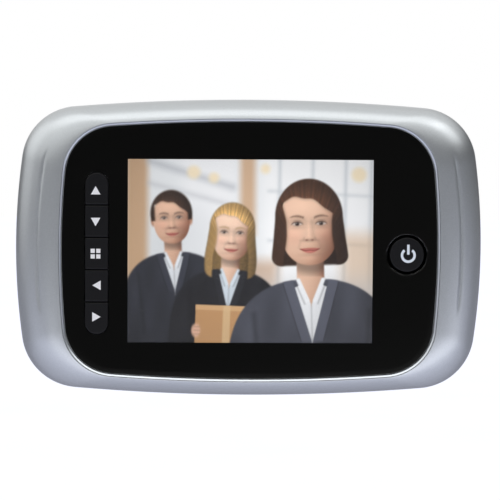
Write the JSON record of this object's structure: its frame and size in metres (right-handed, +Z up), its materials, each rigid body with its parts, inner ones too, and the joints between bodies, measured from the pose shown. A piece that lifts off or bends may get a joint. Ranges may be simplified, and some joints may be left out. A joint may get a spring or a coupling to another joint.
{
  "type": "peephole door camera",
  "caption": "Door viewer with a framed display, side keys and battery bays that hangs on a door bracket, joined through the door to an outdoor camera.",
  "frame": {"origin": "on the axis of the door hole, in the plane of the door's inner face", "axes": "+X to the right seen from the room, +Y through the door to the outside, +Z up"},
  "size_m": [0.1344, 0.0821, 0.0854],
  "materials": {
    "silver_bezel": "satin silver paint over moulded plastic",
    "bright_trim": "bright plated",
    "clear_window": "polished clear acrylic",
    "black_print": "black print",
    "key_black": "fine satin, printed with pale signs",
    "silicone": "moulded silicone",
    "switch_black": "moulded",
    "display_glass": "polished, lit from behind",
    "light_guide": "frosted sheet",
    "tray_steel": "pressed",
    "flex_amber": "polyimide film",
    "connector_white": "moulded",
    "black_foam": "closed cell foam",
    "board_green": "solder mask",
    "chip_black": "moulded",
    "screw_steel": "zinc plated",
    "card_black": "moulded",
    "housing_grey": "fine spark texture",
    "cell_jacket": "plain printed jacket with a bright end",
    "contact_steel": "nickel plated spring steel",
    "bracket_steel": "zinc plated",
    "sleeve_metal": "nickel plated",
    "barrel_metal": "nickel plated",
    "cap_metal": "satin nickel",
    "washer_rubber": "moulded",
    "ribbon_white": "flat flexible cable",
    "lens_black": "moulded",
    "lens_glass": "coated"
  },
  "bodies": {
    "bracket": {"mounting_plate": "bracket_steel"},
    "sleeve": {"inner_sleeve": "sleeve_metal"},
    "camera_head": {"camera_barrel": "barrel_metal", "door_washer": "washer_rubber", "escutcheon": "cap_metal", "sensor_board": "board_green", "image_sensor": "chip_black", "lens_holder": "lens_black", "lens_elements": "lens_glass", "front_lens": "lens_glass"},
    "monitor": {"front_bezel": "silver_bezel", "trim_ring": "bright_trim", "front_window": "clear_window", "window_mask": "black_print", "key_mats": "silicone", "key_switches": "switch_black", "dust_gasket": "black_foam", "display_glass": "display_glass", "light_guide": "light_guide", "display_tray": "tray_steel", "display_flex": "flex_amber", "display_socket": "connector_white", "foam_strips": "black_foam", "main_board": "board_green", "board_chips": "chip_black", "shield_can": "tray_steel", "board_screws": "screw_steel", "card_socket": "tray_steel", "camera_socket": "connector_white", "camera_plug": "connector_white", "camera_ribbon": "ribbon_white", "rear_housing": "housing_grey", "case_screws": "screw_steel", "battery_cells": "cell_jacket", "battery_links": "contact_steel", "battery_terminals": "contact_steel"},
    "card": {"memory_card": "card_black"},
    "left_cover": {"left_battery_cover": "housing_grey"},
    "right_cover": {"right_battery_cover": "housing_grey"},
    "key_up_cap": {"key_up": "key_black"},
    "key_down_cap": {"key_down": "key_black"},
    "key_menu_cap": {"key_menu": "key_black"},
    "key_left_cap": {"key_left": "key_black"},
    "key_right_cap": {"key_right": "key_black"},
    "power_key_cap": {"power_key": "key_black"}
  },
  "joints": [
    {"name": "monitor_lift", "type": "slide", "parent": "bracket", "child": "monitor", "axis": [0, 0, 1], "range_m": [0, 0.0034], "deforming": ["camera_ribbon"]},
    {"name": "inner_sleeve_turn", "type": "hinge", "parent": "bracket", "child": "sleeve", "pos_m": [0, 0, 0], "axis": [0, -1, 0], "range_deg": [-2520, 8280]},
    {"name": "camera_clamp_slide", "type": "slide", "parent": "bracket", "child": "camera_head", "axis": [0, 1, 0], "range_m": [-0.007, 0.023], "deforming": ["camera_ribbon"]},
    {"name": "memory_card_slide", "type": "slide", "parent": "monitor", "child": "card", "axis": [0, 0, -1], "range_m": [0, 0.012]},
    {"name": "left_cover_hinge", "type": "hinge", "parent": "monitor", "child": "left_cover", "pos_m": [-0.05655, -0.00105, 0], "axis": [0, 0, 1], "range_deg": [0, 95]},
    {"name": "right_cover_hinge", "type": "hinge", "parent": "monitor", "child": "right_cover", "pos_m": [0.05655, -0.00105, 0], "axis": [0, 0, -1], "range_deg": [0, 95]},
    {"name": "key_up_press", "type": "slide", "parent": "monitor", "child": "key_up_cap", "axis": [0, 1, 0], "range_m": [0, 0.0004], "stiffness_N_per_m": 500},
    {"name": "key_down_press", "type": "slide", "parent": "monitor", "child": "key_down_cap", "axis": [0, 1, 0], "range_m": [0, 0.0004], "stiffness_N_per_m": 500},
    {"name": "key_menu_press", "type": "slide", "parent": "monitor", "child": "key_menu_cap", "axis": [0, 1, 0], "range_m": [0, 0.0004], "stiffness_N_per_m": 500},
    {"name": "key_left_press", "type": "slide", "parent": "monitor", "child": "key_left_cap", "axis": [0, 1, 0], "range_m": [0, 0.0004], "stiffness_N_per_m": 500},
    {"name": "key_right_press", "type": "slide", "parent": "monitor", "child": "key_right_cap", "axis": [0, 1, 0], "range_m": [0, 0.0004], "stiffness_N_per_m": 500},
    {"name": "power_key_press", "type": "slide", "parent": "monitor", "child": "power_key_cap", "axis": [0, 1, 0], "range_m": [0, 0.0004], "stiffness_N_per_m": 500}
  ],
  "couplings": [
    {"joint": "inner_sleeve_turn", "follows": "camera_clamp_slide", "rad_per_m": 6283.2}
  ]
}
